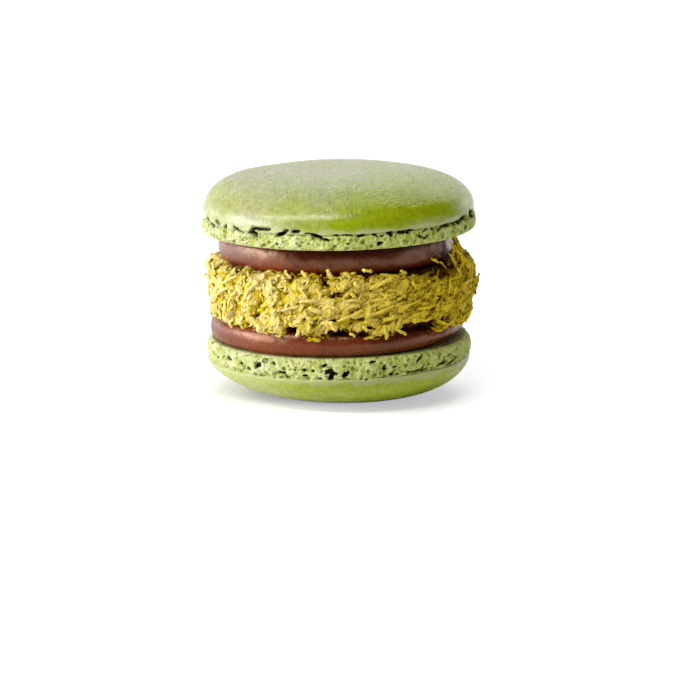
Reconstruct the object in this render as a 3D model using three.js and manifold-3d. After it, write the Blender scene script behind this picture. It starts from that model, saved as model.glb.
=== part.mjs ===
// A filled pistachio macaron, standing on its lower shell: shell, ganache, shredded pastry, ganache, shell.
// Millimetres, +Z up. The origin is on the floor under the middle of the stack. The front looks towards -Y.
// Each shell is a smooth almond dome on a crumbly foot.
// The lower one lies dome down and rests on a small flat spot.
// It was baked and filled by hand, so its layers aren't level: most of them climb a little towards +X.
import * as THREE from "three";
import { mergeVertices } from "three/addons/utils/BufferGeometryUtils.js";
import Module from "manifold-3d";

const wasm = await Module();
wasm.setup();

// Heights of the layers on the axis, from the floor up. The soft layers give up the gaps between the pieces.
const LOWER_DOME_HEIGHT = 6.9;
const LOWER_FOOT_HEIGHT = 3.75;
const LOWER_GANACHE_HEIGHT = 3.85;
const PASTRY_HEIGHT = 11;
const UPPER_GANACHE_HEIGHT = 4.7;
const UPPER_FOOT_HEIGHT = 2.85;
const UPPER_DOME_HEIGHT = 7.95;
const GAP = 0.3;

const LOWER_FOOT_TOP = LOWER_DOME_HEIGHT + LOWER_FOOT_HEIGHT;
const PASTRY_BOTTOM = LOWER_FOOT_TOP + LOWER_GANACHE_HEIGHT;
const PASTRY_TOP = PASTRY_BOTTOM + PASTRY_HEIGHT;
const UPPER_FOOT_BOTTOM = PASTRY_TOP + UPPER_GANACHE_HEIGHT;
const UPPER_DOME_BOTTOM = UPPER_FOOT_BOTTOM + UPPER_FOOT_HEIGHT;
const TOP = UPPER_DOME_BOTTOM + UPPER_DOME_HEIGHT;

// How the stack is out of true at some heights, and evenly between them: [height, rise, shift].
// The rise is in height for each millimetre towards +X, and the shift is towards +X.
const OUT_OF_TRUE = [
  [0, 0, 1.4],
  [LOWER_DOME_HEIGHT, 0.019, 0],
  [LOWER_FOOT_TOP, 0.012, 0],
  [PASTRY_BOTTOM, -0.008, 0],
  [PASTRY_TOP, 0.008, 0],
  [UPPER_FOOT_BOTTOM, 0.018, 0],
  [UPPER_DOME_BOTTOM, 0.024, 0],
  [TOP, 0, -0.2],
];

// A shell's dome is a rounded disc, (r / radius)^aroundPower + (z / fullHeight)^upPower = 1.
// The foot is a little wider than the dome's lip, with a crack between them.
const UPPER_SHELL = {
  domeRadius: 24.65,
  footRadius: 24.8,
  domeHeight: UPPER_DOME_HEIGHT,
  flatCut: 0,
  footHeight: UPPER_FOOT_HEIGHT,
  crackDepth: 0.6,
  aroundPower: 4,
  upPower: 2.45,
  seed: 3,
};
const LOWER_SHELL = {
  domeRadius: 23.8,
  footRadius: 23.85,
  domeHeight: LOWER_DOME_HEIGHT,
  flatCut: 0.1,
  footHeight: LOWER_FOOT_HEIGHT,
  crackDepth: 0.25,
  aroundPower: 3.3,
  upPower: 1.53,
  seed: 11,
};
const SHELL_SEGMENTS = 76;
const DOME_ROWS = 7;
const FOOT_ROWS = 4;
const FOOT_BULGE = 0.35;
const FOOT_CRAG = 0.4;
const CRAG_SIZES = [1.7, 0.8];
const LIP_HEIGHT = 0.3;
const FACE_RING_SHARE = 0.62;
const SHELL_SWELL = 0.12;
const SHELL_SWELL_SIZE = 9;

const LOWER_DISC_HEIGHT = LOWER_GANACHE_HEIGHT - GAP;
const UPPER_DISC_HEIGHT = UPPER_GANACHE_HEIGHT - 2 * GAP;
const UPPER_GANACHE = { radius: 21.3, x: -0.5, seed: 5 };
const LOWER_GANACHE = { radius: 22.8, x: -0.3, seed: 8 };
const GANACHE_SEGMENTS = 48;
const GANACHE_ROWS = 4;
const GANACHE_BULGE = 1.2;
const GANACHE_WAVE = 0.16;
const GANACHE_WAVE_SIZE = 7;

// The shredded pastry: a lumpy core with the largest shreds fused to its side.
const PASTRY_RADIUS = 23.9;
const PASTRY_X = 0.5;
const PASTRY_SEGMENTS = 60;
const PASTRY_ROWS = 5;
const PASTRY_CORNER = 2.2;
const PASTRY_LUMP = 0.55;
const LUMP_SIZES = [3.1, 1.9];
const SHREDS = 130;
const LONGEST_SHRED = 6.5;
const SHORTEST_SHRED = 2.6;
const SHRED_WIDTH = [0.8, 1.3];
const SHRED_TAPER = 0.2;
const SHRED_PROUD = 0.35;
const SHRED_MARGIN = 0.4;
const SHRED_SEED = 20;
const SHRED_TOLERANCE = 0.1;

// Shares of the way round and of the height from one shred to the next.
// They are irrational and unrelated, which spreads the shreds evenly without rows.
const TURN_STEP = 0.75488;
const CLIMB_STEP = 0.56984;

const COLOURS = {
  upper_shell: 0xb4bd72,
  upper_ganache: 0x5a2a18,
  shredded_pastry: 0xc2ab3c,
  lower_ganache: 0x5a2a18,
  lower_shell: 0xafb86a,
};
const SHELL_ROUGHNESS = 0.65;
const GANACHE_ROUGHNESS = 0.4;
const PASTRY_ROUGHNESS = 0.8;

// Vertices this near to a flat end stay on it, and vertices this near to each other are one.
const FLAT_TOLERANCE = 0.01;
const WELD_TOLERANCE = 1e-4;

// One number from 0 to 1 for each corner of a cubic lattice.
function latticeValue(i, j, k, seed) {
  const s = Math.sin(i * 127.1 + j * 311.7 + k * 74.7 + seed * 53.3) * 43758.5453;
  return s - Math.floor(s);
}

// Smooth value noise from -1 to 1, with lumps about `size` across.
function noise(point, size, seed) {
  const p = [point.x / size, point.y / size, point.z / size];
  const base = p.map(Math.floor);
  const f = p.map((v, axis) => v - base[axis]).map((t) => t * t * (3 - 2 * t));
  let sum = 0;
  for (let corner = 0; corner < 8; corner++) {
    const bit = [corner & 1, (corner >> 1) & 1, (corner >> 2) & 1];
    const weight = bit.reduce((w, b, axis) => w * (b ? f[axis] : 1 - f[axis]), 1);
    sum += weight * latticeValue(base[0] + bit[0], base[1] + bit[1], base[2] + bit[2], seed);
  }
  return 2 * sum - 1;
}

// Drops normals and uvs and joins shared vertices, so the mesh is one closed surface.
function welded(geometry) {
  geometry.deleteAttribute("normal");
  geometry.deleteAttribute("uv");
  return mergeVertices(geometry, WELD_TOLERANCE);
}

// A profile of [radius, height] pairs, from the bottom of the axis to its top, turned about Z.
function turned(profile, segments) {
  const points = profile.map(([r, z]) => new THREE.Vector2(r, z));
  return welded(new THREE.LatheGeometry(points, segments)).rotateX(Math.PI / 2);
}

// Moves every vertex to what `change` makes of it. `change` gets the vertex and its outward normal.
function reshaped(geometry, change) {
  geometry.computeVertexNormals();
  const position = geometry.getAttribute("position");
  const normal = geometry.getAttribute("normal");
  for (let i = 0; i < position.count; i++) {
    const vertex = new THREE.Vector3().fromBufferAttribute(position, i);
    change(vertex, new THREE.Vector3().fromBufferAttribute(normal, i));
    position.setXYZ(i, vertex.x, vertex.y, vertex.z);
  }
  geometry.deleteAttribute("normal");
  return geometry;
}

// True for a height on one of a geometry's flat ends, at 0 and at its full height.
function onFlatEnd(z, height) {
  return z < FLAT_TOLERANCE || z > height - FLAT_TOLERANCE;
}

// The stack's rise and shift at a height.
function outOfTrueAt(z) {
  const levelsBelow = OUT_OF_TRUE.slice(1, -1).filter(([height]) => height <= z).length;
  const [low, lowRise, lowShift] = OUT_OF_TRUE[levelsBelow];
  const [high, highRise, highShift] = OUT_OF_TRUE[levelsBelow + 1];
  const t = THREE.MathUtils.clamp((z - low) / (high - low), 0, 1);
  return {
    rise: THREE.MathUtils.lerp(lowRise, highRise, t),
    shift: THREE.MathUtils.lerp(lowShift, highShift, t),
  };
}

// Puts a geometry that will stand at `place` out of true as the stack is there.
function skewed(geometry, place) {
  return reshaped(geometry, (vertex) => {
    const { rise, shift } = outOfTrueAt(vertex.z + place.z);
    vertex.z += rise * (vertex.x + place.x);
    vertex.x += shift;
  });
}

// A shell with its foot's flat face at z = 0 and the dome above it.
// The dome's rows end at its flat spot, or one short of its pole where it has none.
function shellProfile(shell) {
  const profile = [[0, 0], [shell.footRadius * FACE_RING_SHARE, 0]];
  for (let row = 0; row <= FOOT_ROWS; row++) {
    const t = row / FOOT_ROWS;
    const bulge = FOOT_BULGE * Math.sin(Math.PI * t);
    profile.push([shell.footRadius - FOOT_BULGE + bulge, t * (shell.footHeight - LIP_HEIGHT)]);
  }
  profile.push([shell.domeRadius - shell.crackDepth, shell.footHeight - LIP_HEIGHT / 2]);
  const full = shell.domeHeight + shell.flatCut;
  const steepest = Math.asin((shell.domeHeight / full) ** (shell.upPower / 2));
  const firstAngle = Math.asin((LIP_HEIGHT / full) ** (shell.upPower / 2));
  const lastRow = shell.flatCut > 0 ? DOME_ROWS : DOME_ROWS - 1;
  for (let row = 0; row <= lastRow; row++) {
    const angle = firstAngle + ((steepest - firstAngle) * row) / DOME_ROWS;
    const r = shell.domeRadius * Math.cos(angle) ** (2 / shell.aroundPower);
    const z = full * Math.sin(angle) ** (2 / shell.upPower);
    profile.push([r, shell.footHeight + z]);
  }
  profile.push([0, shell.footHeight + shell.domeHeight]);
  return profile;
}

// The crumbly foot stands in and out by its crags and the dome is only slightly uneven. Flat faces stay flat.
function shellGeometry(shell) {
  const geometry = turned(shellProfile(shell), SHELL_SEGMENTS);
  const [coarse, fine] = CRAG_SIZES;
  return reshaped(geometry, (vertex, normal) => {
    if (onFlatEnd(vertex.z, shell.footHeight + shell.domeHeight)) return;
    const onFoot = vertex.z < shell.footHeight;
    const crag = noise(vertex, coarse, shell.seed) + 0.5 * noise(vertex, fine, shell.seed + 1);
    const swell = SHELL_SWELL * noise(vertex, SHELL_SWELL_SIZE, shell.seed + 2);
    vertex.addScaledVector(normal.setZ(onFoot ? 0 : normal.z), onFoot ? FOOT_CRAG * crag + swell : swell);
  });
}

// A disc of ganache pressed between two layers, so that its edge bulges all round.
function ganacheGeometry(radius, height, seed) {
  const half = height / 2;
  const profile = [[0, 0]];
  for (let row = 0; row <= GANACHE_ROWS; row++) {
    const angle = -Math.PI / 2 + (Math.PI * row) / GANACHE_ROWS;
    profile.push([radius - GANACHE_BULGE * (1 - Math.cos(angle)), half * (1 + Math.sin(angle))]);
  }
  profile.push([0, height]);
  return reshaped(turned(profile, GANACHE_SEGMENTS), (vertex, normal) => {
    if (onFlatEnd(vertex.z, height)) return;
    vertex.addScaledVector(normal, GANACHE_WAVE * noise(vertex, GANACHE_WAVE_SIZE, seed));
  });
}

// The pastry's core: flat where the ganache lies on it, lumpy and round-cornered at its side.
function pastryCoreGeometry() {
  const height = PASTRY_HEIGHT - GAP;
  const profile = [[0, 0]];
  const corner = (centreZ, start) => {
    for (let step = 0; step <= 2; step++) {
      const angle = start + (step * Math.PI) / 4;
      const r = PASTRY_RADIUS - PASTRY_CORNER + PASTRY_CORNER * Math.cos(angle);
      profile.push([r, centreZ + PASTRY_CORNER * Math.sin(angle)]);
    }
  };
  corner(PASTRY_CORNER, -Math.PI / 2);
  for (let row = 1; row < PASTRY_ROWS; row++) {
    const z = THREE.MathUtils.lerp(PASTRY_CORNER, height - PASTRY_CORNER, row / PASTRY_ROWS);
    profile.push([PASTRY_RADIUS, z]);
  }
  corner(height - PASTRY_CORNER, 0);
  profile.push([0, height]);
  const [coarse, fine] = LUMP_SIZES;
  return reshaped(turned(profile, PASTRY_SEGMENTS), (vertex, normal) => {
    if (onFlatEnd(vertex.z, height)) return;
    const lump = noise(vertex, coarse, SHRED_SEED) + 0.8 * noise(vertex, fine, SHRED_SEED + 1);
    vertex.addScaledVector(normal, PASTRY_LUMP * lump);
  });
}

// A repeatable stream of numbers from 0 to 1.
function seededRandom(seed) {
  let state = seed;
  return () => {
    state = (state * 1664525 + 1013904223) % 4294967296;
    return state / 4294967296;
  };
}

// A three-sided sliver of baked pastry along Z, narrower at its upper end.
function shredGeometry(length, width) {
  const radius = width / 2;
  const narrow = radius * (1 - SHRED_TAPER);
  const wide = radius * (1 + SHRED_TAPER);
  return welded(new THREE.CylinderGeometry(narrow, wide, length, 3)).rotateX(Math.PI / 2);
}

function solidOf(geometry) {
  const vertProperties = new Float32Array(geometry.getAttribute("position").array);
  const triVerts = new Uint32Array(geometry.index.array);
  return new wasm.Manifold(new wasm.Mesh({ numProp: 3, vertProperties, triVerts }));
}

function geometryOf(solid) {
  const { vertProperties, triVerts } = solid.getMesh();
  return new THREE.BufferGeometry()
    .setAttribute("position", new THREE.BufferAttribute(vertProperties, 3))
    .setIndex(new THREE.BufferAttribute(triVerts, 1));
}

// Fusing leaves slivers, sealed hollows and loose scraps: the outside of the largest piece alone is kept.
function outside(solid) {
  const pieces = solid.simplify(SHRED_TOLERANCE).decompose();
  return pieces.reduce((best, piece) => (piece.volume() > best.volume() ? piece : best));
}

// How far the core's side lies inside its full radius at a height, by its round corners.
function cornerInset(z, height) {
  const pulledIn = Math.max(0, PASTRY_CORNER - Math.min(z, height - z));
  return PASTRY_CORNER - Math.sqrt(Math.max(0, PASTRY_CORNER ** 2 - pulledIn ** 2));
}

// One shred lying on the core's side, half sunk in it and with one end proud. The first are the longest.
function placedShred(index, random) {
  const height = PASTRY_HEIGHT - GAP;
  const length = THREE.MathUtils.lerp(LONGEST_SHRED, SHORTEST_SHRED, (index / SHREDS) ** 0.6);
  const width = THREE.MathUtils.lerp(...SHRED_WIDTH, random());
  const around = 2 * Math.PI * ((index * TURN_STEP + 0.02 * random()) % 1);
  const climbed = (index * CLIMB_STEP + 0.05 * random()) % 1;
  const z = THREE.MathUtils.lerp(SHRED_MARGIN, height - SHRED_MARGIN, climbed);
  const place = new THREE.Matrix4()
    .makeRotationZ(around)
    .multiply(new THREE.Matrix4().makeTranslation(PASTRY_RADIUS - cornerInset(z, height), 0, z))
    .multiply(new THREE.Matrix4().makeRotationX(Math.PI * random()))
    .multiply(new THREE.Matrix4().makeRotationY(SHRED_PROUD * random()));
  return shredGeometry(length, width).applyMatrix4(place);
}

// The room that a disc of ganache needs, in the pastry's own frame.
function ganacheRoom(ganache, height, z) {
  const geometry = ganacheGeometry(ganache.radius + 2 * GAP, height + 2 * GAP, ganache.seed);
  return solidOf(geometry.translate(ganache.x - PASTRY_X, 0, z - GAP));
}

// Core and shreds fused into one solid, then cut clear of the ganache above and below.
function pastryGeometry() {
  const random = seededRandom(SHRED_SEED);
  let solid = solidOf(pastryCoreGeometry());
  for (let index = 0; index < SHREDS; index++) {
    solid = solid.add(solidOf(placedShred(index, random)));
  }
  solid = solid
    .subtract(ganacheRoom(LOWER_GANACHE, LOWER_DISC_HEIGHT, -LOWER_GANACHE_HEIGHT))
    .subtract(ganacheRoom(UPPER_GANACHE, UPPER_DISC_HEIGHT, PASTRY_HEIGHT));
  return geometryOf(outside(solid));
}

// One named piece of the stack, standing at x and z and out of true as the stack is there.
function piece(name, geometry, x, z, roughness) {
  const material = new THREE.MeshStandardMaterial({ color: COLOURS[name], roughness, metalness: 0 });
  const place = new THREE.Vector3(x, 0, z);
  const mesh = new THREE.Mesh(skewed(geometry, place), material);
  mesh.name = name;
  mesh.position.copy(place);
  return mesh;
}

const lowerShell = shellGeometry(LOWER_SHELL).rotateX(Math.PI);
const lowerGanache = ganacheGeometry(LOWER_GANACHE.radius, LOWER_DISC_HEIGHT, LOWER_GANACHE.seed);
const upperGanache = ganacheGeometry(UPPER_GANACHE.radius, UPPER_DISC_HEIGHT, UPPER_GANACHE.seed);

const macaron = new THREE.Group();
macaron.name = "macaron";
macaron.add(
  piece("lower_shell", lowerShell, 0, LOWER_FOOT_TOP, SHELL_ROUGHNESS),
  piece("lower_ganache", lowerGanache, LOWER_GANACHE.x, LOWER_FOOT_TOP + GAP, GANACHE_ROUGHNESS),
  piece("shredded_pastry", pastryGeometry(), PASTRY_X, PASTRY_BOTTOM + GAP, PASTRY_ROUGHNESS),
  piece("upper_ganache", upperGanache, UPPER_GANACHE.x, PASTRY_TOP + GAP, GANACHE_ROUGHNESS),
  piece("upper_shell", shellGeometry(UPPER_SHELL), 0, UPPER_FOOT_BOTTOM, SHELL_ROUGHNESS),
);

export default macaron;
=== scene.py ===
import itertools
import math

import bpy
import numpy as np
from mathutils import Matrix, Vector


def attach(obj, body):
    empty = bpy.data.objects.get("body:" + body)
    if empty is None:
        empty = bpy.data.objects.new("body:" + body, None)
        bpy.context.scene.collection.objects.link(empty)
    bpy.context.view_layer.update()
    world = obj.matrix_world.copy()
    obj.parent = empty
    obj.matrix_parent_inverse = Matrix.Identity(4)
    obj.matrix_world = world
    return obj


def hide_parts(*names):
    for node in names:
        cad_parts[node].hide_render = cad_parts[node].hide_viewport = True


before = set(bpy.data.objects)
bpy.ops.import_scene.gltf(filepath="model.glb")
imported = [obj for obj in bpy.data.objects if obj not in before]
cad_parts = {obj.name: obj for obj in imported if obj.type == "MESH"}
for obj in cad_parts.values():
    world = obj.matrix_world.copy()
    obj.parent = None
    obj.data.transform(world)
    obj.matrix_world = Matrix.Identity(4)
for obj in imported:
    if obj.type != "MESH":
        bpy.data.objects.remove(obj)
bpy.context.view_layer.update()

# Camera. A long lens, far off and a little above, aimed low so that the macaron stands in the upper half
# of the picture. The lens is worked out from the width seen at the macaron.
CAMERA_DISTANCE = 0.7
CAMERA_ELEVATION = math.radians(10.6)
SEEN_WIDTH = 0.12364
SENSOR_WIDTH = 36
STACK_MIDDLE = Vector((0, 0, 0.0203))
AIM = Vector((0.00025, 0, 0.0094))

camera = bpy.data.objects.new("camera", bpy.data.cameras.new("camera"))
bpy.context.scene.collection.objects.link(camera)
camera.location = STACK_MIDDLE + CAMERA_DISTANCE * Vector(
    (0, -math.cos(CAMERA_ELEVATION), math.sin(CAMERA_ELEVATION))
)
camera.rotation_euler = (AIM - camera.location).to_track_quat("-Z", "Y").to_euler()
camera.data.sensor_width = SENSOR_WIDTH
camera.data.lens = SENSOR_WIDTH * CAMERA_DISTANCE / SEEN_WIDTH
bpy.context.scene.camera = camera

# Lower shell. Almond meringue baked on a flat sheet and turned over: the smooth dome is below and the
# crumbly foot above, with the pits of burst bubbles where they meet. It stands on the dome's crown.
# All sizes in the script's pieces are in millimetres, and azimuths in degrees from the front towards +X.
MM = 0.001
LEVELS = (0, 6.9, 10.65, 14.5, 25.5, 30.2, 33.05, 41.0)
RISE_AT_LEVELS = (0, 0.019, 0.012, -0.008, 0.008, 0.018, 0.024, 0)
SHIFT_AT_LEVELS = (1.4, 0, 0, 0, 0, 0, 0, -0.2)

LOWER_SHELL = {
    "crack_level": 6.9,
    "side_up": -1,
    "dome_radius": 23.8,
    "dome_height": 6.9,
    "flat_cut": 0.1,
    "around_power": 3.3,
    "up_power": 1.53,
    "foot_radius": 23.85,
    "foot_height": 3.75,
    "foot_corner": 0.7,
    "groove": 0.12,
    "crag": 0.16,
    "pore_share": 0.30,
    "flat_shade": 0.45,
    "sag": 0.0,
    "seed": 11,
}
# Pits: azimuth, height from the crack (the foot is below 0), half length, half height, depth, slope.
LOWER_PITS = (
    (-66, -1.7, 0.5, 0.2, 0.5, 0), (-55, -2.2, 0.9, 0.3, 0.5, 0), (-47, -1.8, 0.5, 0.3, 0.5, 0),
    (-42, -1.1, 0.5, 0.35, 0.6, -0.4), (-37, -1.9, 0.7, 0.5, 0.6, 0.5), (-33, -3.2, 0.5, 0.2, 0.3, 0),
    (-29, -2.7, 0.28, 0.28, 1.1, 0), (-25, -1.2, 0.6, 0.25, 0.5, 0), (-23, -0.6, 0.3, 0.2, 0.9, 0),
    (-15, -1.8, 0.35, 0.25, 1, 0), (-14, -0.8, 0.6, 0.2, 0.5, 0), (-11, -1.7, 0.25, 0.2, 1, 0),
    (-8, -0.3, 0.45, 0.2, 1.3, 0), (-6, -2.6, 0.4, 0.28, 0.9, 0.4), (-4, -1.6, 1, 0.45, 1, 0.2),
    (-2.5, -0.9, 0.75, 0.55, 1.4, 0.5), (3, -1, 0.55, 0.42, 1.3, 0.3), (12, 0, 0.32, 0.18, 1.1, 0),
    (15, -3.1, 0.6, 0.25, 0.5, 0), (20, -1.9, 0.42, 0.55, 1.2, -0.4), (23, -0.55, 0.4, 0.22, 1.1, 0),
    (25, -1.9, 0.4, 0.18, 0.8, 0), (26, -0.5, 0.3, 0.2, 1, 0), (37, -2.65, 0.95, 0.4, 0.9, 0.7),
    (37, -0.6, 2, 0.17, 0.9, 0.02), (52, -1, 1.3, 0.3, 1.1, 0.15), (60, -0.9, 1.6, 0.32, 1.1, 0.3),
    (56, -2.2, 0.7, 0.22, 0.6, 0.3),
)
AROUND = 1100
DOME_ROWS = 32
DOME_CROWDING = 1.5
EDGE_TOP = 0.55
EDGE_STEP = 0.085
FLAT_ROWS = 3
POLE_GAP = 0.3
FOOT_SWELL = 0.3
GROOVE_LEVEL = -0.1
GROOVE_WIDTH = 0.16
SAG_MIDDLE = -11.5
SAG_WIDTH = 5.5
# Layers of lumps: how much, how large, and the seed.
CRAGS = ((0.8, 1.6, 1), (0.8, 0.8, 2), (0.6, 0.4, 3))
SWELL = ((0.1, 9, 6), (0.04, 3.5, 7))
RAGGED_OUTLINE = ((0.5, 0.75, 40), (0.3, 0.36, 41))
CRACK_WAVER = ((0.12, 2.4, 8),)
LIP_WAVER = ((0.45, 2.2, 9),)
LIP_TOP = 0.75
# Bubbles: size, seed, how soft the rim is, and how deep.
COARSE_BUBBLES = (1.3, 4, 0.12, 0.32)
FINE_BUBBLES = (0.6, 5, 0.1, 0.14)


def corner_value(i, j, k, seed):
    """One repeatable number from 0 to 1 for each whole corner: the fraction of a large sine of the three."""
    return np.mod(np.sin(i * 127.1 + j * 311.7 + k * 74.7 + seed * 53.3) * 43758.5453, 1)


def lumps(points, size, seed):
    """Smooth random lumps about `size` across, from -1 to 1: corner values blended by 3t^2 - 2t^3."""
    scaled = points / size
    base = np.floor(scaled)
    t = scaled - base
    t = t * t * (3 - 2 * t)
    total = 0
    for corner in itertools.product((0, 1), repeat=3):
        weight = np.prod(np.where(np.array(corner), t, 1 - t), axis=-1)
        total = total + weight * corner_value(*np.moveaxis(base + corner, -1, 0), seed)
    return 2 * total - 1


def layered_lumps(points, layers):
    """The sum of lumps of several sizes."""
    return sum(amount * lumps(points, size, seed) for amount, size, seed in layers)


def nearest_bubble(points, size, seed):
    """Distance to the nearest bubble, of one at random in each cube, in shares of the cube's side."""
    scaled = points / size
    base = np.floor(scaled)
    nearest = np.full(points.shape[:-1], 9.0)
    for step in itertools.product((-1, 0, 1), repeat=3):
        cube = np.moveaxis(base + step, -1, 0)
        middle = np.stack([cube[axis] + corner_value(*cube, seed + axis) for axis in range(3)], axis=-1)
        nearest = np.minimum(nearest, np.linalg.norm(scaled - middle, axis=-1))
    return nearest


def smooth_step(low, high, value):
    """0 below low, 1 above high, and 3t^2 - 2t^3 between them."""
    t = np.clip((value - low) / (high - low), 0, 1)
    return t * t * (3 - 2 * t)


def out_of_true(points):
    """The hand-made stack's lean: z grows by rise times x, and x by shift, both blended between levels."""
    x, y, z = np.moveaxis(points, -1, 0)
    rise = np.interp(z, LEVELS, RISE_AT_LEVELS)
    shift = np.interp(z, LEVELS, SHIFT_AT_LEVELS)
    return np.stack([x + shift, y, z + rise * x], axis=-1)


def wheel(radius, azimuth, height):
    """Points at a radius and height, turned from the front by an azimuth in radians."""
    radius, azimuth, height = np.broadcast_arrays(radius, azimuth, height)
    return np.stack([radius * np.sin(azimuth), -radius * np.cos(azimuth), height], axis=-1)


def add_mesh(name, points, faces, values):
    """A smooth-shaded object from points in millimetres, faces, and named numbers for each point."""
    mesh = bpy.data.meshes.new(name)
    mesh.from_pydata((points * MM).tolist(), [], faces)
    for label, numbers in values.items():
        carried = mesh.attributes.new(label, "FLOAT", "POINT")
        carried.data.foreach_set("value", numbers.astype(np.float32).ravel())
    mesh.shade_smooth()
    mesh.validate()
    made = bpy.data.objects.new(name, mesh)
    bpy.context.scene.collection.objects.link(made)
    return made


def ring_faces(rows, around):
    """Quads between rings of points, and triangles to a pole beyond each end, numbered after all rings."""
    here = np.arange(around)
    after = np.roll(here, -1)
    starts = around * np.arange(rows - 1)[:, None]
    start, end = starts + here, starts + after
    quads = np.stack([start, end, end + around, start + around], axis=-1)
    first = np.full(around, rows * around)
    last = (rows - 1) * around
    caps = np.stack([[first, after, here], [first + 1, last + here, last + after]])
    return quads.reshape(-1, 4), np.moveaxis(caps, 1, -1).reshape(-1, 3)


def closed_rings(name, rings, values):
    """A closed skin over rings[row, around], from a first pole to a last one. Each pole is its ring's mean.

    Faces are turned outwards: if the volume, the sum of p0 . (p1 x p2) / 6, is below 0, they are reversed."""
    quads, caps = ring_faces(*rings.shape[:2])
    points = np.concatenate([rings.reshape(-1, 3), [rings[0].mean(0)], [rings[-1].mean(0)]])
    corners = points[np.concatenate([quads[:, :3], quads[:, [0, 2, 3]], caps])]
    if np.einsum("ij,ij->", corners[:, 0], np.cross(corners[:, 1], corners[:, 2])) < 0:
        quads, caps = quads[:, ::-1], caps[:, ::-1]
    values = {
        label: np.concatenate([grid.ravel(), [grid[0].mean(), grid[-1].mean()]])
        for label, grid in values.items()
    }
    return add_mesh(name, points, quads.tolist() + caps.tolist(), values)


def dome_curve(shell):
    """The dome from crown to edge: r = R cos(t)^(2/a), z = H sin(t)^(2/u), with the crown cut flat."""
    t = np.linspace(math.pi / 2, 0, 4000)
    full = shell["dome_height"] + shell["flat_cut"]
    radius = shell["dome_radius"] * np.cos(t) ** (2 / shell["around_power"])
    height = np.minimum(full * np.sin(t) ** (2 / shell["up_power"]), shell["dome_height"])
    radius, height = radius[height > EDGE_TOP], height[height > EDGE_TOP]
    way = np.concatenate([[0], np.cumsum(np.hypot(np.diff(radius), np.diff(height)))])
    share = np.linspace(0.01, 1, DOME_ROWS)
    wanted = way[-1] * (1 - (1 - share) ** DOME_CROWDING)
    return np.interp(wanted, way, radius), np.interp(wanted, way, height)


def edge_radius(shell, z):
    """The side's radius at heights z about the crack: the dome above 0, then a groove, then the foot.

    The foot swells by half a sine, and rounds off by a quarter circle at its flat face."""
    full = shell["dome_height"] + shell["flat_cut"]
    t = np.arcsin((np.clip(z, 0, full) / full) ** (shell["up_power"] / 2))
    dome = shell["dome_radius"] * np.cos(t) ** (2 / shell["around_power"])
    down = np.clip(-z / shell["foot_height"], 0, 1)
    foot = shell["foot_radius"] - FOOT_SWELL + FOOT_SWELL * np.sin(math.pi * down)
    into = np.clip((-z - shell["foot_height"]) / shell["foot_corner"] + 1, 0, 1)
    foot = foot - shell["foot_corner"] * (1 - np.sqrt(1 - into**2))
    groove = shell["groove"] * np.exp(-(((z - GROOVE_LEVEL) / GROOVE_WIDTH) ** 2))
    return np.where(z > 0, dome, foot) - groove


def turned_from(azimuth, degrees):
    """Azimuth measured from another one, in radians from -pi to pi."""
    return np.mod(azimuth - math.radians(degrees) + math.pi, 2 * math.pi) - math.pi


def pit_depth(points, azimuth, z, radius, pits, side_up):
    """How deep the pits are. A pit is an ellipse on the side, with a ragged outline and its own depth."""
    ragged = layered_lumps(points, RAGGED_OUTLINE)
    total = np.zeros(z.shape)
    for centre, height, half_length, half_height, depth, slope in pits:
        along = radius * turned_from(azimuth, centre)
        up = z - height - side_up * slope * along
        distance = np.hypot(along / half_length, up / half_height) + ragged
        total = np.maximum(total, depth * smooth_step(1.15, 0.85, distance))
    return total


def open_bubbles(place, share, bubbles):
    """Depth of the bubbles that broke open, round spots inside a share of each bubble's cube."""
    size, seed, rim, depth = bubbles
    return depth * smooth_step(share + rim, share - 0.1, nearest_bubble(place, size, seed))


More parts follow.
